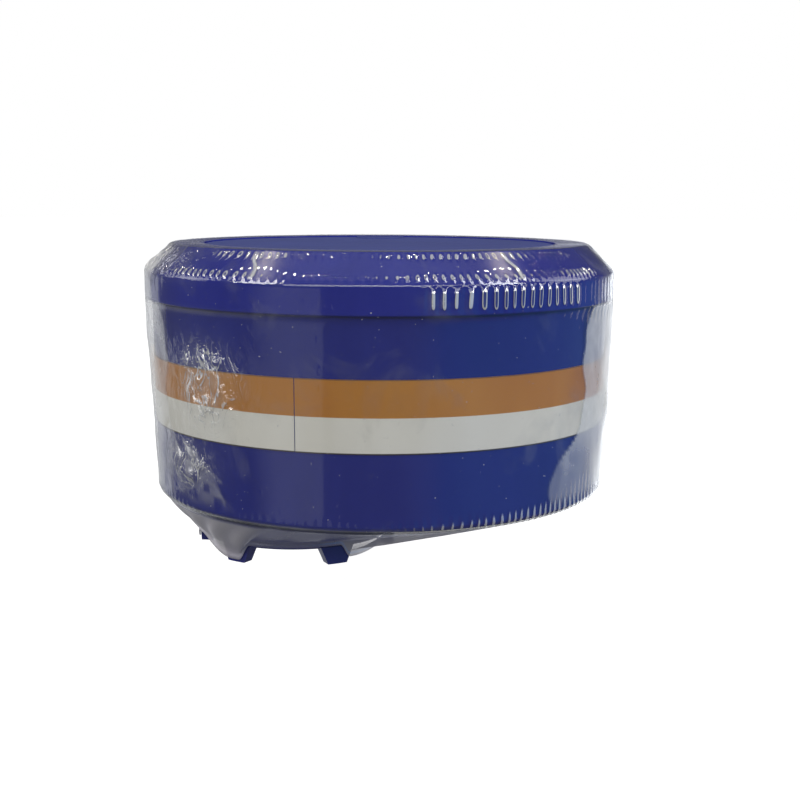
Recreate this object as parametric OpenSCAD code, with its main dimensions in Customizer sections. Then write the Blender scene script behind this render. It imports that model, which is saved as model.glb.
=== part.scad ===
// Combined gas and particle filter canister for a breathing mask, in its shrink sleeve.
// Origin: on the housing's axis, level with the tips of the outlet cap's lugs. +Z is towards the inlet.

/* [Canister] */
// Radius of the lid's skirt, the widest moulded ring
lid_r = 53.7; // [48:0.1:66]
// Height from the housing's lower edge to the lid's top face
canister_h = 55.9; // [50:0.1:90]
// How far the lid's skirt stands out from the housing
skirt_step = 1.3; // [1.1:0.1:2.5]
// How much the housing narrows in radius from the skirt to its lower edge
housing_taper = 0.8; // [0:0.1:2]
// Thickness of the housing's wall at its lower edge
wall = 2; // [1.5:0.1:3]
// Thickness of the housing's floor
floor_t = 2; // [1.5:0.1:3]
// Radius of the round along the housing's lower edge
edge_round = 1.2; // [0.6:0.1:1.4]

/* [Lid] */
// Height of the lid's skirt below the chamfer
skirt_h = 6.2; // [5:0.1:9]
// Height of the lid's chamfer
chamfer_h = 6; // [4.5:0.1:8]
// Width of the lid's chamfer, seen from above
chamfer_w = 6.1; // [4:0.1:8]
// Thickness of the inlet grille
grille_t = 1.8; // [1.2:0.1:3]
// Distance from ring to ring in the inlet grille and the media grids
grid_step = 5; // [4:0.5:10]
// Width of the flat ring round the recess in the lid's top
top_ring_w = 7.1; // [5:0.1:10]
// Depth of the recess that holds the inlet seal
recess_depth = 0.8; // [0.7:0.1:1.5]
// Thickness of the inlet seal
seal_t = 0.5; // [0.3:0.1:0.6]

/* [Outlet] */
// Distance of the outlet's axis from the housing's axis
outlet_offset = 19.5; // [10:0.1:24]
// Largest radius of the connector's round thread
thread_r = 20; // [14:0.1:21]
// Depth of the round thread
thread_depth = 1.8; // [1:0.1:2]
// Pitch of the round thread, a seventh of an inch
thread_pitch = 3.629; // [2.5:0.001:4.5]
// Radius of the air passage through the connector
outlet_bore_r = 15.5; // [10:0.1:16]
// Length of the connector below the housing's lower edge
neck_len = 9; // [8:0.1:14]

/* [Outlet cap] */
// Thickness of the cap's wall outside the thread
cap_wall = 2.8; // [1.5:0.1:4]
// Thickness of the cap's closed end
cap_end_t = 1.5; // [1:0.1:3]
// Thickness of the cap's sealing washer
cap_gasket_t = 1; // [0.6:0.1:2]
// Number of lugs on the cap's closed end
lug_count = 6; // [3:1:8]
// Height of the lugs
lug_h = 3.7; // [2:0.1:5]
// Width of a lug where it meets the cap
lug_root_w = 8; // [5:0.1:9]
// Width of a lug at its tip
lug_tip_w = 4.6; // [3:0.1:7]
// Radial thickness of a lug
lug_t = 2.7; // [2:0.1:4]
// Angle of the first lug from +X, with the cap screwed home
lug_angle = -4; // [-30:1:30]

/* [Label and sleeve] */
// Height of the label's lower edge above the housing's lower edge
label_z = 16.1; // [8:0.1:20]
// Height of the label
label_h = 15.1; // [10:0.1:25]
// Thickness of the label
label_t = 0.12; // [0.08:0.01:0.2]
// Angle of the label's seam from +X
seam_angle = 251; // [0:1:359]
// Width of the gap at the label's seam
seam_gap = 0.2; // [0.2:0.1:1]
// Thickness of the shrink sleeve
sleeve_t = 0.2; // [0.1:0.05:0.3]
// How far the sleeve laps onto the lid's top face
sleeve_lap = 6; // [3:0.1:6.5]

/* [Filter media] */
// Height of the plenum under the carbon bed
plenum_h = 4; // [3:0.1:6]
// Thickness of the two grids that hold the carbon bed
grid_t = 1.5; // [1:0.1:3]
// Thickness of the fleece discs
fleece_t = 1; // [0.6:0.1:2]
// Height of the particle filter's cassette
cassette_h = 13.2; // [10:0.1:18]
// Distance from pleat to pleat
pleat_pitch = 3; // [2.4:0.1:5]
// Thickness of the pleated filter paper
paper_t = 0.5; // [0.4:0.05:0.7]

/* [Hidden] */
$fn = 96;
e = 0.01;

// Levels, from the lug tips up
cap_end_z = lug_h;
cap_seat_z = cap_end_z + cap_end_t;
neck_z = cap_seat_z + cap_gasket_t;
base_z = neck_z + neck_len;
floor_z = base_z + floor_t;
lower_grid_z = floor_z + plenum_h;
lower_fleece_z = lower_grid_z + grid_t;
carbon_z = lower_fleece_z + fleece_t;
top_z = base_z + canister_h;
shoulder_z = top_z - chamfer_h;
skirt_z = shoulder_z - skirt_h;
lid_seat_drop = 0.2;
lid_seat_z = shoulder_z - lid_seat_drop;
lid_gasket_t = 1;
rim_z = lid_seat_z - lid_gasket_t;
cassette_z = rim_z - (fleece_t - lid_gasket_t) - cassette_h;
ring_t = 1.5;
ring_z = cassette_z - ring_t;
upper_grid_z = ring_z - grid_t;
upper_fleece_z = upper_grid_z - fleece_t;

// Radii about the housing's axis
housing_top_r = lid_r - skirt_step;
housing_base_r = housing_top_r - housing_taper;
bore_r = housing_base_r - wall;
media_gap = 0.2;
media_r = bore_r - media_gap;
slip = 0.05;
top_r = lid_r - chamfer_w;
recess_r = top_r - top_ring_w;
lid_edge = 0.35;
seal_r = recess_r - 0.5;
frame_wall = 2.3;
frame_r = media_r - 0.1;
potting_r = frame_r - frame_wall;
potting_w = 1;
pleat_r = potting_r - potting_w;
bead_w = 1.1;
bead_h = 2.5;

// Radii about the outlet's axis
thread_wave = thread_depth / 2;
thread_mean_r = thread_r - thread_wave;
thread_play = 0.35;
thread_sides = 48;
collar_r = thread_r - 0.5;
collar_h = 1.2;
flange_r = thread_r + 2.8;
flange_t = 1.8;
screen_t = 0.8;
screen_r = outlet_bore_r + 2;
cap_r = thread_r + thread_play + cap_wall;
cap_rim_gap = 1.3;
cap_edge = 0.6;
cap_rim_z = base_z - cap_rim_gap;
gasket_in_r = outlet_bore_r;

// Sleeve
sleeve_gap = 0.1;
cap_sleeve_gap = 0.35;
sleeve_foot = 1.2;
bridge_h = 9;
sleeve_sides = 72;

function housing_r(z) = housing_base_r + housing_taper * (z - base_z) / (skirt_z - base_z);
function arc(cx, cy, r, from, to, steps) =
    [for (i = [0:steps]) [cx + r * cos(from + (to - from) * i / steps), cy + r * sin(from + (to - from) * i / steps)]];
// Corner q between points p and s, rounded to radius r
function rounded(p, q, s, r) =
    let (u = (p - q) / norm(p - q), v = (s - q) / norm(s - q), half = acos(u * v) / 2, turn = 180 - 2 * half,
        centre = q + (u + v) / norm(u + v) * r / sin(half),
        from = q + u * r / tan(half) - centre, to = q + v * r / tan(half) - centre)
    [for (i = [0:4]) centre + (from * sin(turn * (1 - i / 4)) + to * sin(turn * i / 4)) / sin(turn)];

// Disc from z to z + t
module disc(r, z, t) {
    translate([0, 0, z])
        cylinder(r = r, h = t);
}

// Flat ring from z to z + t
module washer(r_out, r_in, z, t) {
    difference() {
        disc(r_out, z, t);
        disc(r_in, z - 1, t + 2);
    }
}

// Round grid of rings and spokes, which lets air through all over
module round_grid(r, hub_r, ring_step, bar, spokes, z, t) {
    disc(hub_r, z, t);
    for (ring_r = [hub_r + ring_step:ring_step:r - ring_step / 2])
        washer(ring_r + bar / 2, ring_r - bar / 2, z, t);
    intersection() {
        disc(r - bar / 2, z, t);
        for (i = [0:spokes - 1])
            rotate([0, 0, 360 * i / spokes])
                translate([hub_r / 2, -bar / 2, z])
                    cube([r, bar, t]);
    }
    washer(r, r - 2 * bar, z, t);
}

module at_outlet() {
    translate([-outlet_offset, 0, 0])
        children();
}

// Round-thread core: its radius rolls in and out round a right-hand helix. r is its mean radius.
module round_thread(r, from_z, h) {
    rings = ceil(12 * h / thread_pitch);
    points = [for (i = [0:rings]) for (k = [0:thread_sides - 1])
        let (z = from_z + h * i / rings, a = 360 * k / thread_sides,
            rolled_r = r + thread_wave * cos(a - 360 * z / thread_pitch))
            [rolled_r * cos(a), rolled_r * sin(a), z]];
    walls = [for (i = [0:rings - 1]) for (k = [0:thread_sides - 1])
        let (m = (k + 1) % thread_sides, low = i * thread_sides, high = low + thread_sides)
            [low + k, high + k, high + m, low + m]];
    bottom = [for (k = [0:thread_sides - 1]) k];
    top = [for (k = [thread_sides - 1:-1:0]) rings * thread_sides + k];
    polyhedron(points = points, faces = concat(walls, [bottom, top]), convexity = 8);
}

module housing() {
    rib_w = 1.6;
    ledge_w = 2;
    color([0.10, 0.12, 0.42]) {
        difference() {
            rotate_extrude()
                polygon(concat([[0, base_z]],
                    arc(housing_base_r - edge_round, base_z + edge_round, edge_round, -90, 0, 8),
                    [[housing_r(skirt_z), skirt_z], [housing_top_r, rim_z], [bore_r, rim_z],
                    [bore_r, lower_grid_z], [bore_r - ledge_w, lower_grid_z],
                    [bore_r - ledge_w, floor_z], [0, floor_z]]));
            at_outlet()
                disc(collar_r + slip, base_z - 1, floor_t + 2);
        }
        difference() {
            for (i = [0:11])
                rotate([0, 0, 30 * i + 15])
                    translate([10, -rib_w / 2, floor_z - e])
                        cube([bore_r - ledge_w - 9, rib_w, plenum_h + e]);
            at_outlet()
                disc(flange_r + 1, floor_z - 1, plenum_h + 2);
        }
    }
}

module lid() {
    inner_r = housing_top_r + slip;
    press_w = 3;
    open_r = bore_r - press_w;
    under_z = top_z - recess_depth - grille_t;
    color([0.11, 0.14, 0.45]) {
        rotate_extrude()
            polygon(concat([[inner_r, skirt_z]],
                rounded([inner_r, skirt_z], [lid_r, skirt_z], [lid_r, shoulder_z], lid_edge),
                rounded([lid_r, skirt_z], [lid_r, shoulder_z], [top_r, top_z], 2 * lid_edge),
                rounded([lid_r, shoulder_z], [top_r, top_z], [recess_r, top_z], 2 * lid_edge),
                [[recess_r, top_z], [recess_r, top_z - recess_depth], [recess_r - 3, top_z - recess_depth],
                [recess_r - 3, under_z], [open_r - 2, under_z], [open_r, lid_seat_z],
                [inner_r, lid_seat_z]]));
        round_grid(recess_r - 2, 6, grid_step, 2, 12, under_z, grille_t);
    }
}

module lid_gasket() {
    color("dimgray")
        washer(housing_top_r - 0.2, bore_r + 0.2, rim_z, lid_gasket_t);
}

module inlet_seal() {
    tab_w = 12;
    tab_l = 9;
    tab_t = 0.25;
    z = top_z - recess_depth;
    color([0.20, 0.24, 0.52]) {
        disc(seal_r, z, seal_t);
        translate([0, seal_r - 3, z + seal_t - e])
            intersection() {
                translate([-tab_w / 2, -tab_l, 0])
                    cube([tab_w, tab_l, tab_t + e]);
                translate([0, -tab_l + tab_w / 2, 0])
                    union() {
                        cylinder(r = tab_w / 2, h = 1);
                        translate([-tab_w / 2, 0, 0])
                            cube([tab_w, tab_l, 1]);
                    }
            }
    }
}

module inlet_fleece() {
    color("gainsboro")
        disc(media_r, cassette_z + cassette_h, fleece_t);
}

module cassette_frame() {
    top = cassette_z + cassette_h;
    color("whitesmoke")
        rotate_extrude()
            polygon([[potting_r, cassette_z], [frame_r, cassette_z], [frame_r, top - bead_h],
                [frame_r - bead_w, top - bead_h], [frame_r - bead_w, top], [potting_r, top]]);
}

module cassette_bead() {
    color("wheat")
        washer(bore_r, frame_r - bead_w, cassette_z + cassette_h - bead_h, bead_h);
}

module pleat_potting() {
    color("cornsilk")
        washer(potting_r, pleat_r, cassette_z, cassette_h);
}

module pleated_filter() {
    low = cassette_z + 0.6;
    high = cassette_z + cassette_h - 0.8;
    count = ceil(pleat_r / pleat_pitch) + 1;
    lift = paper_t * 2 * (high - low) / pleat_pitch;
    under = [for (i = [-2 * count:2 * count]) [i * pleat_pitch / 2, i % 2 == 0 ? low : high - lift]];
    over = [for (i = [2 * count:-1:-2 * count]) [i * pleat_pitch / 2, i % 2 == 0 ? low + lift : high]];
    color("white")
        intersection() {
            rotate([90, 0, 0])
                linear_extrude(height = 2 * pleat_r + 10, center = true)
                    polygon(concat(under, over));
            disc(pleat_r - slip, low - 1, cassette_h + 2);
        }
}

module pleat_spacers() {
    thread_w = 1.2;
    thread_t = 0.7;
    color("ivory")
        intersection() {
            for (y = [-2:2])
                translate([-pleat_r, 14 * y - thread_w / 2, cassette_z + cassette_h - 0.75])
                    cube([2 * pleat_r, thread_w, thread_t]);
            disc(pleat_r - 0.2, cassette_z, cassette_h);
        }
}

module retaining_ring() {
    color("silver")
        washer(media_r, media_r - 5, ring_z, ring_t);
}

module upper_grid() {
    color([0.20, 0.24, 0.50])
        round_grid(media_r, 6, grid_step, 2, 12, upper_grid_z, grid_t);
}

module upper_fleece() {
    color("gainsboro")
        disc(media_r, upper_fleece_z, fleece_t);
}

module carbon_bed() {
    color("black")
        disc(media_r, carbon_z, upper_fleece_z - carbon_z);
}

module lower_fleece() {
    color("gainsboro")
        disc(media_r, lower_fleece_z, fleece_t);
}

module lower_grid() {
    color([0.20, 0.24, 0.50])
        round_grid(media_r, 6, grid_step, 2, 12, lower_grid_z, grid_t);
}

module outlet_connector() {
    color([0.12, 0.14, 0.44])
        at_outlet()
            difference() {
                union() {
                    round_thread(thread_mean_r, neck_z, neck_len - collar_h);
                    disc(collar_r, base_z - collar_h - e, collar_h + floor_t + 2 * e);
                    disc(flange_r, floor_z, flange_t);
                }
                disc(outlet_bore_r, neck_z - 1, neck_len + floor_t + flange_t + 2);
                disc(screen_r, floor_z + flange_t - screen_t, screen_t + 1);
            }
}

module outlet_screen() {
    color("lightgray")
        at_outlet()
            disc(screen_r - 0.1, floor_z + flange_t - screen_t, screen_t);
}

module cap_gasket() {
    color("dimgray")
        at_outlet()
            washer(thread_r - thread_depth - 0.2, gasket_in_r, cap_seat_z, cap_gasket_t);
}

module cap_lugs() {
    lug_top = cap_end_z + cap_edge / 2;
    intersection() {
        washer(cap_r, cap_r - lug_t, -1, cap_end_z + 2);
        for (i = [0:lug_count - 1])
            rotate([0, 0, lug_angle + 360 * i / lug_count])
                rotate([90, 0, 90])
                    linear_extrude(height = cap_r + 1)
                        polygon([[-lug_tip_w / 2, 0], [lug_tip_w / 2, 0],
                            [lug_root_w / 2, lug_top], [-lug_root_w / 2, lug_top]]);
    }
}

module outlet_cap() {
    color([0.12, 0.15, 0.44])
        at_outlet()
            difference() {
                union() {
                    rotate_extrude()
                        polygon([[0, cap_end_z], [cap_r - cap_edge, cap_end_z],
                            [cap_r, cap_end_z + cap_edge], [cap_r, cap_rim_z - cap_edge],
                            [cap_r - cap_edge, cap_rim_z], [0, cap_rim_z]]);
                    cap_lugs();
                }
                round_thread(thread_mean_r + thread_play, cap_seat_z, cap_rim_z - cap_seat_z + 1);
            }
}

module band_label() {
    low = base_z + label_z;
    high = low + label_h;
    gap_angle = 2 * asin(seam_gap / 2 / housing_base_r);
    color([0.62, 0.42, 0.20])
        rotate([0, 0, seam_angle + gap_angle / 2])
            rotate_extrude(angle = 360 - gap_angle)
                polygon([[housing_r(low), low], [housing_r(low) + label_t, low],
                    [housing_r(high) + label_t, high], [housing_r(high), high]]);
}

// One thin shell: over the lid's edge, down the skirt, across to the housing, under its lower edge
// and in to the outlet cap. Each ring is [centre x, radius, z].
module shrink_sleeve() {
    over_label = label_t + sleeve_gap;
    bridge_z = skirt_z - bridge_h;
    inner = [[0, top_r - sleeve_lap, top_z + sleeve_gap],
        [0, top_r, top_z + sleeve_gap],
        [0, lid_r + sleeve_gap, shoulder_z],
        [0, lid_r + sleeve_gap, skirt_z],
        [0, housing_r(bridge_z) + over_label, bridge_z],
        for (p = arc(housing_base_r - edge_round, base_z + edge_round, edge_round + over_label, 0, -90, 3))
            [0, p[0], p[1]],
        [-outlet_offset, cap_r + cap_sleeve_gap, cap_end_z + cap_edge + sleeve_foot],
        [-outlet_offset, cap_r + cap_sleeve_gap, cap_end_z + cap_edge]];
    last = len(inner) - 1;
    // Outward direction of the shell at ring i, in its (radius, z) plane
    normals = [for (i = [0:last])
        let (a = inner[max(i - 1, 0)], b = inner[min(i + 1, last)], dr = b[1] - a[1], dz = b[2] - a[2])
            [-dz, dr] / norm([dr, dz])];
    outer = [for (i = [0:last]) inner[i] + sleeve_t * [0, normals[i][0], normals[i][1]]];
    rings = concat(outer, [for (i = [last:-1:0]) inner[i]]);
    count = len(rings);
    points = [for (ring = rings) for (k = [0:sleeve_sides - 1])
        let (a = 360 * k / sleeve_sides) [ring[0] + ring[1] * cos(a), ring[1] * sin(a), ring[2]]];
    faces = [for (i = [0:count - 1]) for (k = [0:sleeve_sides - 1])
        let (n = (i + 1) % count, m = (k + 1) % sleeve_sides)
            [i * sleeve_sides + k, i * sleeve_sides + m, n * sleeve_sides + m, n * sleeve_sides + k]];
    color([0.8, 0.85, 0.95, 0.3])
        polyhedron(points = points, faces = faces, convexity = 8);
}

housing();
lid();
lid_gasket();
inlet_seal();
inlet_fleece();
cassette_frame();
cassette_bead();
pleat_potting();
pleated_filter();
pleat_spacers();
retaining_ring();
upper_grid();
upper_fleece();
carbon_bed();
lower_fleece();
lower_grid();
outlet_connector();
outlet_screen();
cap_gasket();
outlet_cap();
band_label();
shrink_sleeve();
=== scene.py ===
"""Finish of the gas and particle filter canister: moulded blue plastic, printed band and shrink sleeve."""
import math

import bmesh
import bpy
from mathutils import Matrix, Vector, noise


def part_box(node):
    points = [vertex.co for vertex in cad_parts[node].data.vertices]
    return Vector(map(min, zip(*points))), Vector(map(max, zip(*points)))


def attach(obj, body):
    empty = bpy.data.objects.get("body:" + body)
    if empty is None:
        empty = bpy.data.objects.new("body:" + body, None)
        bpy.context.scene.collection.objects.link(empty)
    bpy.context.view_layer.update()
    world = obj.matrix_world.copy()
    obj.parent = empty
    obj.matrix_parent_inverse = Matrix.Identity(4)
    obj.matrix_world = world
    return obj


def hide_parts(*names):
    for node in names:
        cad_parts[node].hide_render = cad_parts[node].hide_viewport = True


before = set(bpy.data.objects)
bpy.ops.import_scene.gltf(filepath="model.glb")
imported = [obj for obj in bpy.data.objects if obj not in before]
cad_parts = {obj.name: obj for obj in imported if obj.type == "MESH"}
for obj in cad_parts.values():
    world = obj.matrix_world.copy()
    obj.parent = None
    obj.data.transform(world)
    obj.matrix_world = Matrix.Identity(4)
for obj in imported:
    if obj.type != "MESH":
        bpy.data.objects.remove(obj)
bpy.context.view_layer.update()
MM = 0.001


# ---- measures taken from the frame ----

def reach(node, z, centre_x=0.0, slack=0.02 * MM):
    """Largest radius of a node's points at height z, about a vertical axis through centre_x."""
    points = [v.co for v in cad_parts[node].data.vertices if abs(v.co.z - z) < slack]
    return max(math.hypot(p.x - centre_x, p.y) for p in points)


lid_low, lid_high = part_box("lid")
housing_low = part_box("housing")[0]
label_low, label_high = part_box("band_label")
cap_low, cap_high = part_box("outlet_cap")
sleeve_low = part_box("shrink_sleeve")[0]

LID_R = lid_high.x
TOP_Z = lid_high.z
CHAMFER_WIDTH, CHAMFER_HEIGHT = 6.1 * MM, 6 * MM
TOP_R = LID_R - CHAMFER_WIDTH
SHOULDER_Z = TOP_Z - CHAMFER_HEIGHT
SKIRT_Z = lid_low.z
BASE_Z = housing_low.z
CAP_X = (cap_low.x + cap_high.x) / 2
CAP_R = (cap_high.y - cap_low.y) / 2
CUFF_Z = sleeve_low.z
CAP_TRAVEL = 14.6 * MM
WALL_TOP_R = reach("housing", SKIRT_Z)
WALL_TAPER = 0.8 * MM
WALL_FOOT_R = WALL_TOP_R - WALL_TAPER


# ---- camera, lights and stage ----

def make_camera():
    """Long-lens view from the front and a little above."""
    data = bpy.data.cameras.new("camera")
    data.lens = 58.5
    data.sensor_width = 36
    camera = bpy.data.objects.new("camera", data)
    bpy.context.scene.collection.objects.link(camera)
    distance, height = 0.30396, BASE_Z + 0.06832
    turn, tilt, roll = -0.01577, 0.1617, 0.0046
    camera.matrix_world = (Matrix.Translation((0, -distance, height))
                           @ Matrix.Rotation(turn, 4, "Z")
                           @ Matrix.Rotation(math.pi / 2 - tilt, 4, "X")
                           @ Matrix.Rotation(roll, 4, "Z"))
    bpy.context.scene.camera = camera


def area_light(name, direction, distance, size, power, colour=(1, 1, 1), aim=(0, 0, 0.04)):
    """Softbox that looks at aim from a distance along direction."""
    data = bpy.data.lights.new(name, "AREA")
    data.shape = "RECTANGLE"
    data.size, data.size_y = size
    data.energy = power
    data.color = colour
    light = bpy.data.objects.new(name, data)
    bpy.context.scene.collection.objects.link(light)
    towards = Vector(direction).normalized()
    light.location = Vector(aim) + towards * distance
    light.rotation_mode = "QUATERNION"
    light.rotation_quaternion = towards.to_track_quat("Z", "Y")
    return light


def make_lights():
    area_light("front_key", (0.03, -1, 0.5), 1.1, (2.1, 0.24), 4.8)
    area_light("left_window", (-0.88, -0.47, 0.6), 0.9, (0.3, 0.35), 2.4, (1.0, 0.98, 0.94))
    area_light("right_window", (0.88, -0.47, 0.6), 0.9, (0.3, 0.35), 2.7, (0.95, 0.97, 1.0))
    area_light("left_fill", (-1, 0.25, 0.5), 1.0, (0.5, 0.5), 1.2)
    area_light("right_fill", (1, 0.25, 0.5), 1.0, (0.5, 0.5), 1.6)
    area_light("left_lamp", (-0.483, 0.196, 0.852), 0.8, (0.035, 0.05), 0.5, (1.0, 0.9, 0.72), (0, 0, 0.06))
    area_light("right_lamp", (0.504, 0.221, 0.835), 0.8, (0.035, 0.05), 0.5, (1.0, 0.9, 0.72), (0, 0, 0.06))


def wall_strip(tree, azimuth, begins, full, fades, ends, strength):
    """Upright strip of the painted room, from one azimuth to another, with soft sides."""
    return calc(tree, "MULTIPLY", ranged(tree, azimuth, begins, full, 0, strength),
                ranged(tree, azimuth, fades, ends, 1, 0))


def make_world():
    """White to the camera, soft fill to matt surfaces, and a dim room with pale walls to gloss."""
    world = bpy.data.worlds.new("studio")
    bpy.context.scene.world = world
    world.use_nodes = True
    tree = world.node_tree
    tree.nodes.clear()
    out = tree.nodes.new("ShaderNodeOutputWorld")
    path = tree.nodes.new("ShaderNodeLightPath")
    way = tree.nodes.new("ShaderNodeSeparateXYZ")
    tree.links.new(tree.nodes.new("ShaderNodeTexCoord").outputs["Generated"], way.inputs[0])
    azimuth = calc(tree, "ARCTAN2", way.outputs["X"], calc(tree, "MULTIPLY", way.outputs["Y"], -1))
    turn = calc(tree, "ABSOLUTE", azimuth)
    glossy, to_camera = path.outputs["Is Glossy Ray"], path.outputs["Is Camera Ray"]
    low = product(tree, ranged(tree, way.outputs["Z"], -0.02, 0.06, 1, 0),
                  ranged(tree, way.outputs["Z"], -0.6, -0.4, 0, 1))
    back_wall = ranged(tree, turn, 2.28, 2.36, 0, 0.62)
    doorway = wall_strip(tree, azimuth, 2.6, 2.68, 2.98, 3.04, 3.0)
    panel = wall_strip(tree, azimuth, -1.15, -0.9, -0.49, -0.475, 0.24)
    side = wall_strip(tree, azimuth, 0.15, 0.8, 2.2, 2.3, 0.24)
    walls = largest(tree, back_wall, doorway, panel, side)
    ceiling = ranged(tree, way.outputs["Z"], 0.75, 0.95, 0, 0.3)
    dim, soft_fill = 0.1, 0.25
    room = total(tree, product(tree, walls, low), ceiling, dim)
    strength = total(tree, product(tree, glossy, room),
                     product(tree, calc(tree, "SUBTRACT", 1, glossy), soft_fill))
    strength = largest(tree, strength, to_camera)
    blue = product(tree, side, low, glossy)
    tint = mixed(tree, ranged(tree, blue, 0.0, 0.15, 0, 1), (0.94, 0.97, 1), (0.22, 0.5, 1))
    tint = mixed(tree, to_camera, tint, (1, 1, 1))
    glow = tree.nodes.new("ShaderNodeBackground")
    tree.links.new(tint, glow.inputs["Color"])
    tree.links.new(strength, glow.inputs["Strength"])
    tree.links.new(glow.outputs[0], out.inputs[0])


def make_floor():
    """Pale tabletop, low enough to show the cap at the end of its travel, and not mirrored in the film."""
    shape = bmesh.new()
    bmesh.ops.create_circle(shape, cap_ends=True, segments=96, radius=4)
    mesh = bpy.data.meshes.new("tabletop")
    shape.to_mesh(mesh)
    shape.free()
    mesh.transform(Matrix.Translation((0, 0, -CAP_TRAVEL)))
    floor = bpy.data.objects.new("tabletop", mesh)
    bpy.context.scene.collection.objects.link(floor)
    material = bpy.data.materials.new("pale_tabletop")
    material.use_nodes = True
    shader = material.node_tree.nodes["Principled BSDF"]
    shader.inputs["Base Color"].default_value = (0.5, 0.5, 0.5, 1)
    shader.inputs["Roughness"].default_value = 0.8
    shader.inputs["Specular IOR Level"].default_value = 0
    shader.inputs["Emission Color"].default_value = (1, 1, 1, 1)
    shader.inputs["Emission Strength"].default_value = 0.9
    mesh.materials.append(material)
    floor.visible_glossy = False
    floor.visible_diffuse = False
    floor.visible_shadow = False


# ---- node helpers ----

def new_material(name):
    """Material with a Principled shader, its tree, its shader and its Object coordinates."""
    material = bpy.data.materials.new(name)
    material.use_nodes = True
    tree = material.node_tree
    place = tree.nodes.new("ShaderNodeTexCoord").outputs["Object"]
    return material, tree, tree.nodes["Principled BSDF"], place


def noise_at(tree, place, scale, detail=3.0, roughness=0.5, distortion=0.0):
    node = tree.nodes.new("ShaderNodeTexNoise")
    node.inputs["Scale"].default_value = scale
    node.inputs["Detail"].default_value = detail
    node.inputs["Roughness"].default_value = roughness
    node.inputs["Distortion"].default_value = distortion
    tree.links.new(place, node.inputs["Vector"])
    return node.outputs[0]


def stretched(tree, place, scale):
    node = tree.nodes.new("ShaderNodeMapping")
    node.inputs["Scale"].default_value = scale
    tree.links.new(place, node.inputs["Vector"])
    return node.outputs[0]


def ranged(tree, value, from_low, from_high, to_low, to_high):
    node = tree.nodes.new("ShaderNodeMapRange")
    for socket, number in zip(("From Min", "From Max", "To Min", "To Max"),
                              (from_low, from_high, to_low, to_high)):
        node.inputs[socket].default_value = number
    tree.links.new(value, node.inputs["Value"])
    return node.outputs[0]


def calc(tree, operation, first, second=None):
    node = tree.nodes.new("ShaderNodeMath")
    node.operation = operation
    for socket, value in zip(node.inputs, (first, second)):
        if value is None:
            continue
        if isinstance(value, (int, float)):
            socket.default_value = value
        else:
            tree.links.new(value, socket)
    return node.outputs[0]


def product(tree, first, *others):
    for other in others:
        first = calc(tree, "MULTIPLY", first, other)
    return first


def total(tree, first, *others):
    for other in others:
        first = calc(tree, "ADD", first, other)
    return first


def largest(tree, first, *others):
    for other in others:
        first = calc(tree, "MAXIMUM", first, other)
    return first


def mixed(tree, mask, first, second):
    """Colour that goes from first to second with the mask."""
    node = tree.nodes.new("ShaderNodeMix")
    node.data_type = "RGBA"
    sockets = [node.inputs[0], node.inputs[6], node.inputs[7]]
    for socket, value in zip(sockets, (mask, first, second)):
        if isinstance(value, (int, float)):
            socket.default_value = value
        elif isinstance(value, tuple):
            socket.default_value = (*value, 1)
        else:
            tree.links.new(value, socket)
    return node.outputs[2]


def bumped(tree, shader, height, strength, distance):
    node = tree.nodes.new("ShaderNodeBump")
    node.inputs["Strength"].default_value = strength
    node.inputs["Distance"].default_value = distance
    tree.links.new(height, node.inputs["Height"])
    tree.links.new(node.outputs[0], shader.inputs["Normal"])
    return node


def new_group(name, inputs, outputs):
    """Empty node group. inputs is {name: (socket type, default)}, outputs is {name: socket type}."""
    group = bpy.data.node_groups.new(name, "ShaderNodeTree")
    for socket, (kind, default) in inputs.items():
        made = group.interface.new_socket(socket, in_out="INPUT", socket_type=kind)
        if default is not None:
            made.default_value = default
    for socket, kind in outputs.items():
        group.interface.new_socket(socket, in_out="OUTPUT", socket_type=kind)
    return group, group.nodes.new("NodeGroupInput").outputs, group.nodes.new("NodeGroupOutput").inputs


def placed_group(tree, group, place, **values):
    node = tree.nodes.new("ShaderNodeGroup")
    node.node_tree = group
    tree.links.new(place, node.inputs["Place"])
    for socket, value in values.items():
        node.inputs[socket.replace("_", " ")].default_value = value
    return node.outputs


def moulded_skin_group():
    """Mould texture: soft flow marks in the colour, uneven gloss, fine orange peel and stray scratches."""
    group, given, put = new_group("moulded_skin", {
        "Place": ("NodeSocketVector", None),
        "Base": ("NodeSocketColor", (0.02, 0.03, 0.2, 1)),
        "Flow": ("NodeSocketColor", (0.03, 0.04, 0.26, 1)),
        "Gloss": ("NodeSocketFloat", 0.25),
    }, {"Color": "NodeSocketColor", "Roughness": "NodeSocketFloat", "Height": "NodeSocketFloat"})
    place = given["Place"]
    flow = noise_at(group, stretched(group, place, (1, 1, 0.35)), 55, 4, 0.55, 0.6)
    peel = noise_at(group, place, 900, 2, 0.5)
    pores = noise_at(group, place, 4200, 1, 0.5)
    streaks = noise_at(group, stretched(group, place, (5, 5, 1)), 240, 2, 0.4, 0.2)
    scratches = ranged(group, streaks, 0.70, 0.76, 0, 0.5)
    tint = ranged(group, flow, 0.35, 0.65, 0, 1)
    group.links.new(mixed(group, tint, given["Base"], given["Flow"]), put["Color"])
    uneven = calc(group, "MULTIPLY", calc(group, "SUBTRACT", flow, 0.5), 0.18)
    rubbed = calc(group, "MULTIPLY", scratches, 0.12)
    rough = calc(group, "ADD", calc(group, "ADD", given["Gloss"], uneven), rubbed)
    group.links.new(rough, put["Roughness"])
    relief = calc(group, "ADD", calc(group, "MULTIPLY", peel, 0.7), calc(group, "MULTIPLY", pores, 0.2))
    group.links.new(calc(group, "SUBTRACT", relief, calc(group, "MULTIPLY", scratches, 0.15)), put["Height"])
    return group


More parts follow.
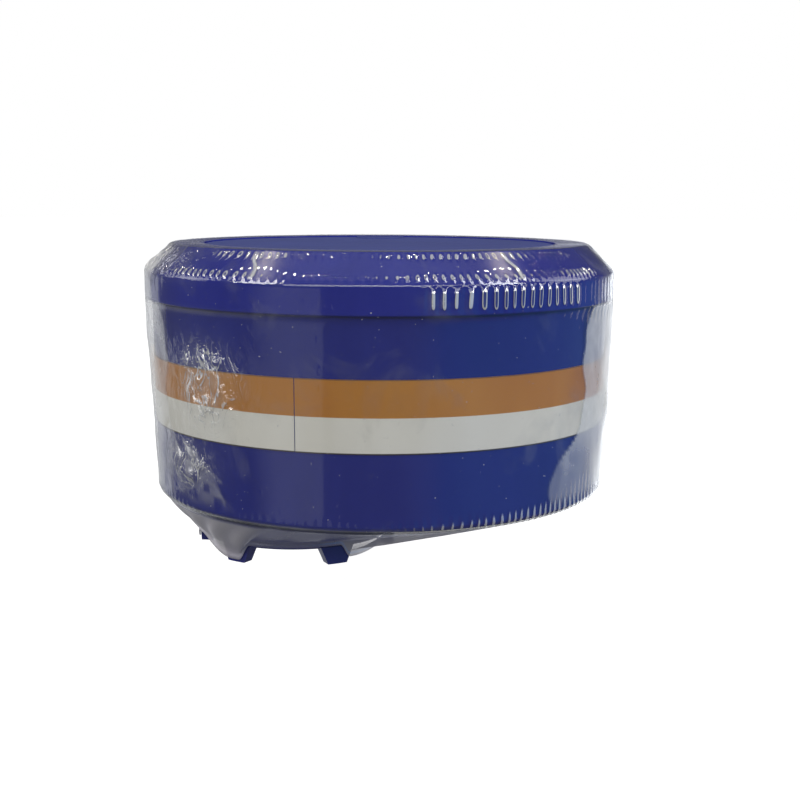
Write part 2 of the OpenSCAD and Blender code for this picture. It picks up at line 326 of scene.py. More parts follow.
def felt_group():
    """Non-woven fleece: tangled fibres with brighter crossings."""
    group, given, put = new_group("felted", {
        "Place": ("NodeSocketVector", None),
        "Fibre": ("NodeSocketColor", (0.8, 0.8, 0.78, 1)),
        "Shade": ("NodeSocketColor", (0.55, 0.55, 0.53, 1)),
    }, {"Color": "NodeSocketColor", "Roughness": "NodeSocketFloat", "Height": "NodeSocketFloat"})
    place = given["Place"]
    long_way = noise_at(group, stretched(group, place, (1, 6, 1)), 700, 3, 0.6, 1.5)
    cross_way = noise_at(group, stretched(group, place, (6, 1, 1)), 700, 3, 0.6, 1.5)
    clouds = noise_at(group, place, 90, 3)
    fibres = calc(group, "MAXIMUM", long_way, cross_way)
    body = ranged(group, calc(group, "ADD", fibres, calc(group, "MULTIPLY", clouds, 0.4)), 0.55, 0.95, 0, 1)
    group.links.new(mixed(group, body, given["Shade"], given["Fibre"]), put["Color"])
    group.links.new(ranged(group, fibres, 0.3, 0.8, 0.98, 0.85), put["Roughness"])
    group.links.new(fibres, put["Height"])
    return group


# ---- materials ----

def blue_plastic(name, skin, base, flow, gloss, peel=0.25, coat=0.25):
    material, tree, shader, place = new_material(name)
    out = placed_group(tree, skin, place, Base=(*base, 1), Flow=(*flow, 1), Gloss=gloss)
    tree.links.new(out["Color"], shader.inputs["Base Color"])
    tree.links.new(out["Roughness"], shader.inputs["Roughness"])
    bumped(tree, shader, out["Height"], peel, 0.02 * MM)
    shader.inputs["IOR"].default_value = 1.5
    shader.inputs["Coat Weight"].default_value = coat
    shader.inputs["Coat Roughness"].default_value = 0.06
    return material


def felt(name, group, fibre, shade):
    material, tree, shader, place = new_material(name)
    out = placed_group(tree, group, place, Fibre=(*fibre, 1), Shade=(*shade, 1))
    tree.links.new(out["Color"], shader.inputs["Base Color"])
    tree.links.new(out["Roughness"], shader.inputs["Roughness"])
    bumped(tree, shader, out["Height"], 0.8, 0.15 * MM)
    shader.inputs["Sheen Weight"].default_value = 0.3
    return material


def rubber(name):
    material, tree, shader, place = new_material(name)
    bloom = noise_at(tree, place, 220, 4)
    powdered = mixed(tree, ranged(tree, bloom, 0.4, 0.7, 0, 1), (0.02, 0.02, 0.022), (0.055, 0.055, 0.058))
    tree.links.new(powdered, shader.inputs["Base Color"])
    tree.links.new(ranged(tree, bloom, 0.3, 0.7, 0.5, 0.75), shader.inputs["Roughness"])
    bumped(tree, shader, noise_at(tree, place, 2500, 2), 0.3, 0.03 * MM)
    return material


def glue(name):
    material, tree, shader, place = new_material(name)
    clouds = noise_at(tree, place, 300, 3, 0.5, 0.5)
    tree.links.new(mixed(tree, clouds, (0.62, 0.5, 0.26), (0.8, 0.72, 0.5)), shader.inputs["Base Color"])
    tree.links.new(ranged(tree, clouds, 0.3, 0.7, 0.3, 0.5), shader.inputs["Roughness"])
    shader.inputs["Subsurface Weight"].default_value = 0.2
    shader.inputs["Subsurface Radius"].default_value = (0.002, 0.0015, 0.001)
    bumped(tree, shader, noise_at(tree, place, 500, 2), 0.4, 0.1 * MM)
    return material


def pleat_paper(name):
    material, tree, shader, place = new_material(name)
    fibres = noise_at(tree, stretched(tree, place, (1, 0.15, 1)), 2600, 3, 0.6, 0.4)
    clouds = noise_at(tree, place, 120, 3)
    shade = calc(tree, "ADD", calc(tree, "MULTIPLY", fibres, 0.6), calc(tree, "MULTIPLY", clouds, 0.4))
    tree.links.new(mixed(tree, shade, (0.68, 0.68, 0.65), (0.9, 0.9, 0.88)), shader.inputs["Base Color"])
    tree.links.new(ranged(tree, fibres, 0.3, 0.7, 0.95, 0.8), shader.inputs["Roughness"])
    bumped(tree, shader, fibres, 0.5, 0.03 * MM)
    return material


def granules(name):
    material, tree, shader, place = new_material(name)
    cells = tree.nodes.new("ShaderNodeTexVoronoi")
    cells.inputs["Scale"].default_value = 750
    tree.links.new(place, cells.inputs["Vector"])
    # painted shade: each granule is lighter in its middle and darker towards its edges, where the gaps
    # between granules lie
    tree.links.new(mixed(tree, cells.outputs["Distance"], (0.03, 0.03, 0.032), (0.004, 0.004, 0.005)),
                   shader.inputs["Base Color"])
    grit = noise_at(tree, place, 1500, 2)
    tree.links.new(ranged(tree, grit, 0.3, 0.7, 0.35, 0.8), shader.inputs["Roughness"])
    bumped(tree, shader, ranged(tree, cells.outputs["Distance"], 0, 0.8, 1, 0), 1, 0.6 * MM)
    return material


def rolled_steel(name):
    material, tree, shader, place = new_material(name)
    grain = noise_at(tree, stretched(tree, place, (1, 1, 30)), 900, 3, 0.6)
    tree.links.new(mixed(tree, grain, (0.42, 0.43, 0.44), (0.66, 0.66, 0.66)), shader.inputs["Base Color"])
    tree.links.new(ranged(tree, grain, 0.3, 0.7, 0.22, 0.42), shader.inputs["Roughness"])
    shader.inputs["Metallic"].default_value = 1
    bumped(tree, shader, grain, 0.2, 0.02 * MM)
    return material


def frame_plastic(name, light, dark):
    material, tree, shader, place = new_material(name)
    flow = noise_at(tree, place, 80, 3, 0.5, 0.4)
    tree.links.new(mixed(tree, flow, dark, light), shader.inputs["Base Color"])
    tree.links.new(ranged(tree, flow, 0.3, 0.7, 0.4, 0.58), shader.inputs["Roughness"])
    bumped(tree, shader, noise_at(tree, place, 1400, 2), 0.3, 0.03 * MM)
    return material


def printed_band(name):
    """Label: brown print above white, uneven ink, and darker along each edge, most along the lower one."""
    material, tree, shader, place = new_material(name)
    xyz = tree.nodes.new("ShaderNodeSeparateXYZ")
    tree.links.new(place, xyz.inputs[0])
    height = xyz.outputs["Z"]
    brown_share = 0.51
    border = label_high.z - (label_high.z - label_low.z) * brown_share
    clouds = noise_at(tree, stretched(tree, place, (1, 1, 0.4)), 45, 3, 0.5, 0.3)
    speck = noise_at(tree, place, 1800, 2, 0.6)
    brown = mixed(tree, ranged(tree, clouds, 0.35, 0.65, 0, 1), (0.5, 0.2, 0.03), (0.58, 0.26, 0.045))
    white = mixed(tree, ranged(tree, clouds, 0.35, 0.65, 0, 1), (0.78, 0.76, 0.68), (0.86, 0.85, 0.79))
    upper = ranged(tree, height, border - 0.05 * MM, border + 0.05 * MM, 0, 1)
    ink = mixed(tree, upper, white, brown)
    edge_low = ranged(tree, height, label_low.z + 0.22 * MM, label_low.z + 0.34 * MM, 1, 0)
    edge_high = ranged(tree, height, label_high.z - 0.3 * MM, label_high.z - 0.15 * MM, 0, 0.6)
    ink = mixed(tree, calc(tree, "MAXIMUM", edge_low, edge_high), ink, (0.05, 0.04, 0.05))
    ink = mixed(tree, ranged(tree, speck, 0.70, 0.76, 0, 0.35), ink, (0.12, 0.09, 0.07))
    tree.links.new(ink, shader.inputs["Base Color"])
    tree.links.new(ranged(tree, speck, 0.3, 0.7, 0.28, 0.42), shader.inputs["Roughness"])
    bumped(tree, shader, calc(tree, "ADD", speck, clouds), 0.15, 0.03 * MM)
    return material


def pucker_group():
    """Shrink puckers as a height: ridges that run down the film, count to the turn, at an uneven pitch."""
    group, given, put = new_group("film_puckers", {
        "Place": ("NodeSocketVector", None),
        "Count": ("NodeSocketFloat", 180.0),
        "Wander": ("NodeSocketFloat", 4.0),
        "Seed": ("NodeSocketFloat", 0.0),
    }, {"Height": "NodeSocketFloat"})
    place = given["Place"]
    xyz = group.nodes.new("ShaderNodeSeparateXYZ")
    group.links.new(place, xyz.inputs[0])
    angle = calc(group, "ARCTAN2", xyz.outputs["Y"], xyz.outputs["X"])
    shifted = group.nodes.new("ShaderNodeVectorMath")
    shifted.operation = "ADD"
    group.links.new(place, shifted.inputs[0])
    group.links.new(given["Seed"], shifted.inputs[1])
    drift = noise_at(group, stretched(group, shifted.outputs[0], (1, 1, 0.35)), 60, 2, 0.6)
    phase = calc(group, "ADD", calc(group, "MULTIPLY", angle, given["Count"]),
                 calc(group, "MULTIPLY", drift, calc(group, "MULTIPLY", given["Wander"], 6.283)))
    wave = calc(group, "MULTIPLY_ADD", calc(group, "SINE", phase), 0.5)
    wave.node.inputs[2].default_value = 0.5
    group.links.new(wave, put["Height"])
    return group


def attribute(tree, name):
    """One of the sleeve's masks, as written on its points."""
    node = tree.nodes.new("ShaderNodeAttribute")
    node.attribute_name = name
    return node.outputs["Fac"]


def clear_film(name, puckers):
    """Shrink film: clear and mirror-bright face on, milky where it is crumpled, doubled or seen edge on, with
    painted highlights along its ridges, creases and folds.
    """
    material, tree, shader, place = new_material(name)
    haze_and_sheen, crumple = attribute(tree, "haze_and_sheen"), attribute(tree, "crumple")
    pucker, pleat = attribute(tree, "pucker"), attribute(tree, "pleat")
    gather, fold = attribute(tree, "gather"), attribute(tree, "fold")
    fine = placed_group(tree, puckers, place, Count=176, Wander=3.0, Seed=0.3)
    tall = placed_group(tree, puckers, place, Count=142, Wander=2.2, Seed=0.9)
    crushed = noise_at(tree, place, 330, 4, 0.62, 1.2)
    creased = noise_at(tree, stretched(tree, place, (1, 1, 0.55)), 190, 3, 0.55, 1.8)
    sag = noise_at(tree, stretched(tree, place, (1, 1, 0.25)), 45, 2, 0.5)
    pimples = ranged(tree, noise_at(tree, place, 420, 1, 0.4), 0.70, 0.80, 0, 1)
    ripple = calc(tree, "MULTIPLY", fine["Height"], pucker)
    ridge = calc(tree, "MULTIPLY", tall["Height"], pleat)
    height = total(tree, product(tree, ripple, 0.42), product(tree, ridge, 0.85),
                   product(tree, creased, crumple, 2.4), product(tree, crushed, crumple, 0.5),
                   product(tree, sag, 0.12), product(tree, pimples, 0.06))
    bumped(tree, shader, height, 1.0, 1 * MM)

    edge_on = tree.nodes.new("ShaderNodeLayerWeight")
    edge_on.inputs["Blend"].default_value = 0.5
    grazing = calc(tree, "POWER", edge_on.outputs["Facing"], 4.0)
    grazing = calc(tree, "MULTIPLY", grazing, calc(tree, "SUBTRACT", 1, attribute(tree, "lap")))
    smear = noise_at(tree, stretched(tree, place, (1, 1, 0.5)), 70, 4, 0.6, 0.8)
    dust = ranged(tree, noise_at(tree, place, 1500, 2, 0.5), 0.72, 0.76, 0, 0.5)
    clouds = ranged(tree, noise_at(tree, place, 75, 4, 0.6, 0.5), 0.56, 0.74, 0, 0.22)
    # milky film from the haze mask and random clouds; the haze mask carries painted sheen and light lines too
    milky = calc(tree, "MULTIPLY", calc(tree, "ADD", haze_and_sheen, clouds), ranged(tree, smear, 0.3, 0.7, 0.6, 1.2))
    crease_line = calc(tree, "ABSOLUTE", calc(tree, "SUBTRACT", creased, 0.52))
    # painted glints: thin white lines along the crease lines of the crushed patches
    curl = product(tree, ranged(tree, crease_line, 0.008, 0.038, 1, 0), crumple, 0.85)

    # painted highlight: a ridge shows as a bright loop, drawn white along its flanks where they would catch
    # the light, and less on its top
    fine_loop_highlight = calc(tree, "MULTIPLY", ranged(tree, ripple, 0.42, 0.55, 0, 1),
                     ranged(tree, ripple, 0.72, 0.85, 1, 0.3))
    sharp = calc(tree, "MULTIPLY", calc(tree, "POWER", tall["Height"], 1.8), pleat)
    tall_loop_highlight = calc(tree, "MULTIPLY", ranged(tree, sharp, 0.34, 0.42, 0, 1),
                     ranged(tree, sharp, 0.56, 0.66, 1, 0.12))
    crest_highlight = calc(tree, "MAXIMUM", calc(tree, "MULTIPLY", fine_loop_highlight, 0.6), tall_loop_highlight)

    clear_cover, full_cover = 0.13, 0.95
    cover = total(tree, product(tree, grazing, 0.7), clear_cover, product(tree, milky, 0.6),
                  product(tree, crest_highlight, 0.75))
    cover = largest(tree, cover, dust, curl, fold, product(tree, gather, 0.98))
    outer_side = calc(tree, "SUBTRACT", 1, tree.nodes.new("ShaderNodeNewGeometry").outputs["Backfacing"])
    cover = calc(tree, "MULTIPLY", calc(tree, "MINIMUM", cover, full_cover), outer_side)
    tree.links.new(cover, shader.inputs["Alpha"])

    # white where the film is milky or dusty, and under the painted highlights of ridges, crease lines and
    # folds
    white = largest(tree, milky, curl, dust, crest_highlight, fold)
    tone = mixed(tree, ranged(tree, white, 0, 0.5, 0, 1), (0.05, 0.055, 0.07), (0.93, 0.94, 0.96))
    # tone of the gathered film: bluish over the cap's front, where the blue cap shows through, and taupe
    # where it is gathered most, partly its own milkiness and partly painted reflection of the tabletop's
    # light
    bluish = mixed(tree, smear, (0.42, 0.42, 0.74), (0.6, 0.6, 0.95))
    taupe = mixed(tree, smear, (0.5, 0.46, 0.55), (0.76, 0.7, 0.8))
    gathered = mixed(tree, ranged(tree, gather, 0.6, 0.95, 0, 1), bluish, taupe)
    tone = mixed(tree, ranged(tree, gather, 0.0, 0.3, 0, 1), tone, gathered)
    tree.links.new(tone, shader.inputs["Base Color"])
    matt = largest(tree, milky, dust, gather)
    tree.links.new(ranged(tree, matt, 0, 1, 0.05, 0.5), shader.inputs["Roughness"])
    shader.inputs["IOR"].default_value = 6.0
    return material


def seal_laminate(name):
    """Peel-off laminate: satin blue with a faint pressed grain."""
    material, tree, shader, place = new_material(name)
    clouds = noise_at(tree, place, 60, 4, 0.5, 0.5)
    grain = tree.nodes.new("ShaderNodeTexVoronoi")
    grain.inputs["Scale"].default_value = 1100
    tree.links.new(place, grain.inputs["Vector"])
    tree.links.new(mixed(tree, clouds, (0.055, 0.07, 0.25), (0.075, 0.095, 0.3)), shader.inputs["Base Color"])
    tree.links.new(ranged(tree, clouds, 0.3, 0.7, 0.42, 0.55), shader.inputs["Roughness"])
    bumped(tree, shader, grain.outputs["Distance"], 0.15, 0.05 * MM)
    shader.inputs["Specular IOR Level"].default_value = 0.15
    return material


def dress(node, material):
    """Gives a CAD node its material."""
    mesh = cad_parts[node].data
    mesh.materials.clear()
    mesh.materials.append(material)


# ---- mesh helpers ----

def draw_line(shape, points):
    """Line of (radius, height) points in the XZ plane, to be spun."""
    line = [shape.verts.new((r, 0, z)) for r, z in points]
    for a, b in zip(line, line[1:]):
        shape.edges.new((a, b))


def spin_round(shape, steps):
    bmesh.ops.spin(shape, geom=shape.verts[:] + shape.edges[:], cent=(0, 0, 0), axis=(0, 0, 1),
                   angle=2 * math.pi, steps=steps, use_merge=True)


def placed_piece(name, shape, material):
    """Smooth-shaded object made from a bmesh, which it frees."""
    mesh = bpy.data.meshes.new(name)
    shape.to_mesh(mesh)
    shape.free()
    mesh.polygons.foreach_set("use_smooth", [True] * len(mesh.polygons))
    mesh.materials.append(material)
    piece = bpy.data.objects.new(name, mesh)
    bpy.context.scene.collection.objects.link(piece)
    return piece


# ---- shrink sleeve ----

SLEEVE_SIDES = 480
LAYERS = ("pucker", "pleat", "haze_and_sheen", "crumple", "lap", "gather", "fold")
FILM_GAUGE = 0.05 * MM
FILM_ROOM = 0.28 * MM
LOOSE_Z = BASE_Z + 14 * MM
CONE_TOP_Z = BASE_Z - 0.3 * MM
CONE_FOOT_Z = CUFF_Z + 1.2 * MM


def sleeve_profile():
    """The film's outer face as rings from the lap on the lid down to the cap.

    Each ring is (radius, height, radius where the film spans the step under the skirt).
    """
    gap, over_label = 0.2 * MM, 0.42 * MM
    out_r = LID_R + gap
    foot_r = WALL_FOOT_R + over_label
    cap_wall_r = CAP_R + 0.5 * MM
    bridge_z = SKIRT_Z - 9 * MM
    bridge_r = WALL_TOP_R + over_label - 0.2 * MM
    corners = [
        (TOP_R - 6 * MM, TOP_Z + 0.12 * MM, None, 0),
        (TOP_R - 0.3 * MM, TOP_Z + gap, None, 4),
        (TOP_R + 0.5 * MM, TOP_Z + gap - 0.3 * MM, None, 3),
        (LID_R - 0.4 * MM, SHOULDER_Z + 0.6 * MM + gap, None, 10),
        (out_r, SHOULDER_Z - 0.2 * MM, None, 3),
        (out_r, SKIRT_Z + 0.2 * MM, None, 8),
        (out_r - 0.5 * MM, SKIRT_Z - 1.4 * MM, out_r, 3),
        (bridge_r, bridge_z, out_r - 0.2 * MM, 6),
        (bridge_r - 0.1 * MM, bridge_z - 6 * MM, out_r - 0.7 * MM, 8),
        (foot_r, BASE_Z + 4 * MM, foot_r, 30),
        (foot_r, BASE_Z + 1.2 * MM, None, 4),
        (foot_r - 0.35 * MM, BASE_Z + 0.35 * MM, None, 2),
        (foot_r - 1.2 * MM, CONE_TOP_Z, None, 2),
        (cap_wall_r, CONE_FOOT_Z, None, 9),
        (cap_wall_r, CUFF_Z, None, 2),
    ]
    rings = []
    for (r0, z0, span0, _), (r1, z1, span1, steps) in zip(corners, corners[1:]):
        for i in range(steps):
            share = i / steps
            span = (span0 or r0) * (1 - share) + (span1 or r1) * share
            rings.append((r0 * (1 - share) + r1 * share, z0 * (1 - share) + z1 * share, span))
    rings.append((cap_wall_r, CUFF_Z, cap_wall_r))
    return rings


def patchy(angle, z, scale, seed, low=0.0, high=0.5):
    """Share from 0 to 1 that comes and goes round the sleeve."""
    value = noise.noise(Vector((math.cos(angle) * scale, math.sin(angle) * scale, z * 30 + seed)))
    return min(1.0, max(0.0, (value - low) / (high - low)))


def bell(x, centre, width):
    """1 at the centre, falling off over width."""
    return math.exp(-((x - centre) / width) ** 2)


def ease(x, low, high):
    """0 at low, 1 at high, smooth between."""
    share = min(1.0, max(0.0, (x - low) / (high - low)))
    return share * share * (3 - 2 * share)


def turned(angle):
    """Azimuth in degrees from -Y towards +X, from -180 to 180."""
    return (math.degrees(angle) + 270) % 360 - 180


def around(angle, centre, width):
    """1 at the azimuth centre, falling off over width."""
    gap = (turned(angle) - centre + 180) % 360 - 180
    return math.exp(-(gap / width) ** 2)


def hem_z(angle):
    """Height of the film's torn-off lower edge, which dips over the cap's side lugs."""
    azimuth = turned(angle)
    left = max(3.6 * ease(azimuth, -66, -36) * ease(azimuth, -24, -31), 3.6 * around(angle, -93, 13))
    right = 3.0 * ease(azimuth, 27, 33) * (1 - 0.8 * ease(azimuth, 34, 72)) * ease(azimuth, 150, 120)
    return CUFF_Z - max(left, right, 1.5 * around(angle, 180, 60)) * MM


def edge_puckers(r, z):
    """Share of fine puckers along the chamfer's two edges."""
    upper = bell(z, TOP_Z - 0.9 * MM, 0.75 * MM) if r > TOP_R - 0.6 * MM else 0
    return upper + bell(z, SHOULDER_Z + 1.3 * MM, 0.75 * MM)


def pucker_share(angle, r, z):
    """Fine puckers: crowded in places along the chamfer, and fanned out along the foot."""
    foot_reach = 3.2 * MM + 5.5 * MM * around(angle, 55, 30)
    foot = ease(z, BASE_Z + foot_reach, BASE_Z + 0.8 * MM) * ease(z, BASE_Z - 0.5 * MM, BASE_Z + 0.4 * MM)
    crowd = 0.15 + 0.85 * max(patchy(angle, z * 8, 3.1, 5, -0.1, 0.35), 0.8 * around(angle, 18, 26))
    return min(1.0, edge_puckers(r, z) * crowd + 0.7 * foot * (0.3 + 0.7 * around(angle, 40, 45)))


def pleat_share(angle, z):
    """Tall pleats down the lid's skirt, and again behind; their painted highlights show solid at the first
    few and as open loops after.
    """
    azimuth = turned(angle)
    skirt = ease(z, SKIRT_Z + 0.1 * MM, SKIRT_Z + 2 * MM)
    skirt *= ease(z, SHOULDER_Z - 0.1 * MM, SHOULDER_Z - 1.9 * MM)
    below = ease(z, SKIRT_Z - 4 * MM, SKIRT_Z - 1 * MM) * ease(z, SKIRT_Z + 0.5 * MM, SKIRT_Z - 1 * MM)
    run = ease(azimuth, 8, 11) * ease(azimuth, 54, 49) * (0.66 + 0.34 * ease(azimuth, 19, 22))
    run = max(run, 0.75 * around(angle, 72, 13), around(angle, 190, 35))
    run *= 0.68 + 0.32 * patchy(angle, z * 2, 24, 31, -0.35, 0.35)
    return skirt * run + 0.35 * below * around(angle, 60, 25)


def curl_share(angle, z):
    """Crushed patches: two on the left of the wall, the chamfer's left end, and one behind."""
    return (around(angle, -44, 10) * bell(z, BASE_Z + 28 * MM, 8 * MM)
            + 0.9 * around(angle, -52, 9) * bell(z, BASE_Z + 10 * MM, 5 * MM)
            + 1.1 * around(angle, -76, 17) * bell(z, SHOULDER_Z + 3 * MM, 3.6 * MM)
            + 0.6 * around(angle, 150, 14) * bell(z, BASE_Z + 24 * MM, 8 * MM))


def fold_glint_share(azimuth, z):
    """Painted highlights: two bright streaks that wander down the chamfer, where the film's folds catch the
    light.
    """
    bend = 0.9 * math.sin((z - SHOULDER_Z) * 900) + 0.6 * noise.noise(Vector((z * 700, 0, 3)))
    folds = math.exp(-((azimuth + 29.5 - bend) / 0.55) ** 2) + math.exp(-((azimuth - 31.5 - bend) / 0.6) ** 2)
    chamfer = ease(z, SHOULDER_Z + 0.3 * MM, SHOULDER_Z + 0.9 * MM)
    chamfer *= ease(z, TOP_Z - 0.2 * MM, TOP_Z - 0.9 * MM)
    return min(1.0, folds * chamfer)


def wall_haze_and_sheen(angle, z, curl):
    """Milkiness of the film on the walls, partly painted sheen and light: where it stands off them near the
    sides, which are seen edge on, and painted light lines along the skirt and the foot.
    """
    azimuth = turned(angle)
    wander = 3 * noise.noise(Vector((z * 160, 0, 7)))
    far_right = 56.5 - 13 * ease(z, LOOSE_Z + 6 * MM, LOOSE_Z - 7 * MM) + wander
    far_left = (-61 + 12 * ease(z, LOOSE_Z + 4 * MM, LOOSE_Z - 1 * MM)
                + 11 * ease(z, LOOSE_Z, LOOSE_Z - 7 * MM) - wander)
    # milky where the film stands off the wall towards the left and right sides: partly the film's own haze,
    # partly painted sheen where these sides are seen edge on
    off_right = ease(azimuth, far_right - 0.6, far_right + 0.6) * ease(azimuth, 118, 104)
    off_left = ease(azimuth, far_left + 0.6, far_left - 0.6) * ease(azimuth, -118, -104)
    off_wall = max(off_right, off_left)
    off_wall *= ease(z, BASE_Z + 1 * MM, BASE_Z + 4 * MM) * ease(z, SKIRT_Z + 0.4 * MM, SKIRT_Z - 0.6 * MM)
    touching = 0
    if -66 < azimuth < 0 and z < LOOSE_Z + 4 * MM:
        touching = patchy(angle, z * 14, 16, 44, 0.08, 0.2)
    milk_and_sheen = 0.66 - 0.18 * ease(azimuth, 0, -50)
    milk_and_sheen -= 0.22 * ease(azimuth, 72, 55) * ease(z, LOOSE_Z + 3 * MM, LOOSE_Z - 3 * MM)
    haze_and_sheen = 0.45 * curl + milk_and_sheen * off_wall * (1 - touching)
    # a light line along the housing's lower edge on the left front: partly film stretched over the edge,
    # partly painted highlight
    haze_and_sheen += 0.5 * bell(z, BASE_Z + 0.3 * MM, 0.35 * MM) * ease(azimuth, 20, -20) * ease(azimuth, -90, -70)
    beside_lid = ease(z, SKIRT_Z, SKIRT_Z + 0.5 * MM) * ease(z, TOP_Z, SHOULDER_Z)
    # partly milky film, partly painted sheen where the lid's left side is seen edge on
    haze_and_sheen += 0.4 * ease(azimuth, -66, -68.5) * beside_lid
    # a light line along the skirt's lower edge on the left front: partly film stretched over the edge, partly
    # painted light over the shade under the skirt
    haze_and_sheen += 0.3 * around(angle, -48, 24) * bell(z, SKIRT_Z - 0.5 * MM, 0.6 * MM)
    return min(1.0, haze_and_sheen)


def gather_share(azimuth, share, folds):
    """How thickly the film is gathered under the housing: most on the left, least over the cap's front."""
    gather = 0.47 + 0.53 * ease(azimuth, -14, -38) * ease(azimuth, -150, -120)
    gather += 0.4 * ease(azimuth, 21, 33) * ease(azimuth, 150, 110)
    gather *= ease(share, 0, 0.06) * (0.9 + 0.1 * folds)
    return min(1.0, gather)


def cone_place(x, y, z, r, angle):
    """Point of the drawn-in cone, its share of the way down, and how far it is up a fold."""
    share = min(1.0, (CONE_TOP_Z - z) / (CONE_TOP_Z - CONE_FOOT_Z)) if z < CONE_TOP_Z else 0
    drop = max(0.0, CONE_TOP_Z - z) / (CONE_TOP_Z - CUFF_Z)
    z -= drop * (CUFF_Z - hem_z(angle))
    folds = 0.5 + 0.5 * math.sin(angle * 26 + 4 * noise.noise(Vector((x, y, 3)) * 40))
    r += 0.7 * MM * folds * math.sin(math.pi * share)
    return (r * math.cos(angle) + share * CAP_X, r * math.sin(angle), z), r, share, folds


def make_sleeve(material):
    """Shrink film: spun from its rings, then lifted, crushed and drawn in, with its masks on its points."""
    rings = sleeve_profile()
    shape = bmesh.new()
    draw_line(shape, [(r, z) for r, z, _ in rings])
    span_layer = shape.verts.layers.float.new("span")
    layers = {name: shape.verts.layers.float.new(name) for name in LAYERS}
    for vert, (_, _, span) in zip(shape.verts, rings):
        vert[span_layer] = span
    spin_round(shape, SLEEVE_SIDES)
    bmesh.ops.recalc_face_normals(shape, faces=shape.faces[:])
    for v in shape.verts:
        x, y, z = v.co
        r = math.hypot(x, y)
        angle = math.atan2(y, x)
        azimuth = turned(angle)
        sideways = ease(abs(math.cos(angle)), 0.86, 0.985)
        if BASE_Z < z < SKIRT_Z:
            r += (v[span_layer] - r) * sideways
            r += 0.75 * MM * bell(z, BASE_Z + 20 * MM, 8 * MM) * sideways * ease(azimuth, 0, 60)
        curl = curl_share(angle, z)
        v[layers["pucker"]] = pucker_share(angle, r, z)
        v[layers["pleat"]] = pleat_share(angle, z)
        v[layers["crumple"]] = min(1.0, 1.6 * curl)
        # the fold mask holds the chamfer's painted highlight streaks
        v[layers["fold"]] = fold_glint_share(azimuth, z)
        v[layers["lap"]] = ease(r, TOP_R + 0.2 * MM, TOP_R - 0.4 * MM)
        lift = (1.1 * curl * noise.turbulence(Vector((x, y, z)) * 240, 3, False)
                + 0.25 * sideways * noise.noise(Vector((x, y, z)) * 160)) * MM
        lift += 0.12 * MM * edge_puckers(r, z) * noise.noise(Vector((x, y, z)) * 420)
        if z > BASE_Z:
            v[layers["haze_and_sheen"]] = wall_haze_and_sheen(angle, z, curl)
            r = min(r + max(lift, -0.05 * MM), LID_R + FILM_ROOM)
            x, y = r * math.cos(angle), r * math.sin(angle)
        else:
            (x, y, z), r, share, folds = cone_place(x, y, z, r, angle)
            v[layers["gather"]] = gather_share(azimuth, share, folds)
        if r < TOP_R:
            z = min(z + 0.1 * MM * noise.noise(Vector((x, y, z)) * 90), TOP_Z + FILM_ROOM)
        v.co = (x, y, z)
    film = placed_piece("shrink_sleeve_film", shape, material)
    gauge = film.modifiers.new("film_gauge", "SOLIDIFY")
    gauge.thickness = FILM_GAUGE
    gauge.offset = -1
    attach(film, "canister")
    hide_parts("shrink_sleeve")
    return film


# ---- fleece discs ----

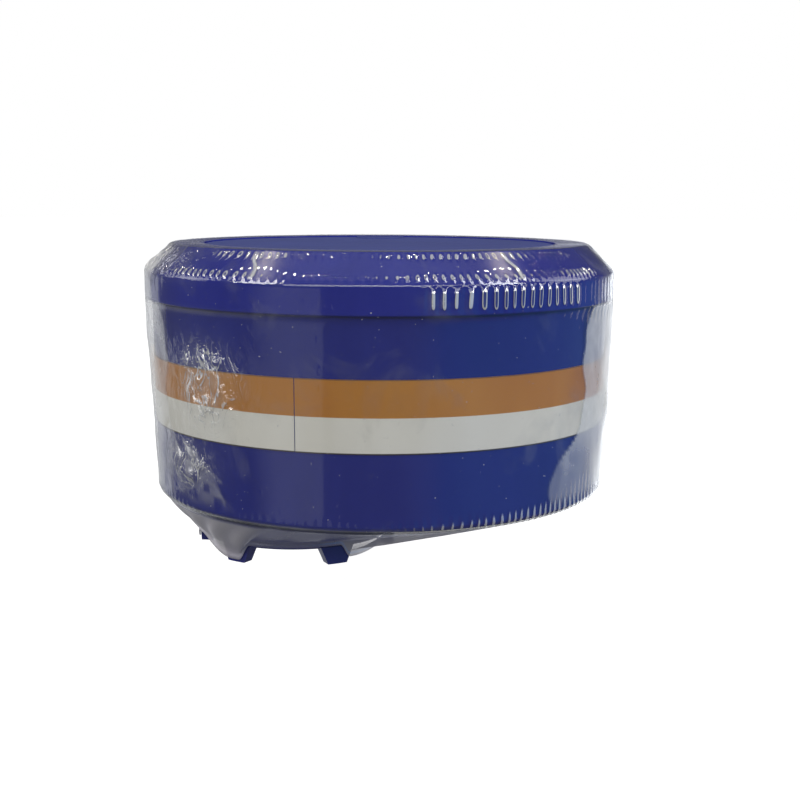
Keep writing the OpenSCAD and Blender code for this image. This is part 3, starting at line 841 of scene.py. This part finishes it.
def make_fleece(node, material):
    """Felted disc cut from a sheet, with softened, slightly frayed edges and uneven faces."""
    low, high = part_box(node)
    centre_x, centre_y = (low.x + high.x) / 2, (low.y + high.y) / 2
    radius, thickness = (high.x - low.x) / 2, high.z - low.z
    middle, soft = (low.z + high.z) / 2, 0.25 * (high.z - low.z)
    bands, sides = 24, 120
    lower_face = [(radius * i / bands, low.z) for i in range(bands)]
    rim = [(radius - soft, low.z), (radius, low.z + soft), (radius, high.z - soft), (radius - soft, high.z)]
    upper_face = [(r, high.z) for r, _ in reversed(lower_face)]
    shape = bmesh.new()
    draw_line(shape, lower_face + rim + upper_face)
    spin_round(shape, sides)
    bmesh.ops.remove_doubles(shape, verts=shape.verts[:], dist=0.002 * MM)
    bmesh.ops.recalc_face_normals(shape, faces=shape.faces[:])
    for v in shape.verts:
        x, y, z = v.co
        dent = 0.12 * thickness * (0.5 + 0.5 * noise.noise(Vector((x, y, z)) * 420))
        z += dent if z < middle else -dent
        fray = 0.0
        if math.hypot(x, y) > 0.98 * radius:
            fray = 0.006 * (0.5 + 0.5 * noise.noise(Vector((x, y, z)) * 900))
        v.co = (x * (1 - fray) + centre_x, y * (1 - fray) + centre_y, z)
    disc = placed_piece(node + "_felt", shape, material)
    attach(disc, "canister")
    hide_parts(node)
    return disc


# ---- assembly ----

def main():
    bpy.context.scene.view_settings.view_transform = "Standard"
    make_camera()
    make_world()
    make_lights()
    make_floor()
    skin = moulded_skin_group()
    felted = felt_group()
    # the housing's blue is darker than the lid's: painted shade in part, for the wall that stands under the
    # lid's skirt
    housing_blue = blue_plastic("housing_blue", skin, (0.016, 0.022, 0.22), (0.02, 0.028, 0.25), 0.2)
    lid_blue = blue_plastic("lid_blue", skin, (0.014, 0.02, 0.27), (0.02, 0.028, 0.31), 0.18)
    cap_blue = blue_plastic("cap_blue", skin, (0.03, 0.034, 0.2), (0.04, 0.046, 0.24), 0.34)
    finishes = {
        "housing": housing_blue, "outlet_connector": housing_blue, "lid": lid_blue, "outlet_cap": cap_blue,
        "inlet_seal": seal_laminate("seal_laminate"),
        "band_label": printed_band("printed_band"),
        "lid_gasket": rubber("lid_rubber"), "cap_gasket": rubber("washer_rubber"),
        "cassette_bead": glue("bead_glue"), "pleat_potting": glue("potting_glue"),
        "pleat_spacers": glue("spacer_glue"),
        "pleated_filter": pleat_paper("pleat_paper"),
        "cassette_frame": frame_plastic("frame_white", (0.82, 0.82, 0.8), (0.72, 0.72, 0.7)),
        "upper_grid": frame_plastic("grid_blue", (0.05, 0.06, 0.26), (0.03, 0.04, 0.2)),
        "lower_grid": frame_plastic("lower_grid_blue", (0.05, 0.06, 0.26), (0.03, 0.04, 0.2)),
        "retaining_ring": rolled_steel("ring_steel"),
        "carbon_bed": granules("carbon_granules"),
    }
    white_felt = felt("white_felt", felted, (0.82, 0.82, 0.8), (0.58, 0.58, 0.55))
    for node, material in finishes.items():
        dress(node, material)
    make_fleece("inlet_fleece", white_felt)
    make_fleece("upper_fleece", white_felt)
    make_fleece("lower_fleece", white_felt)
    make_fleece("outlet_screen", white_felt)
    make_sleeve(clear_film("clear_film", pucker_group()))


main()
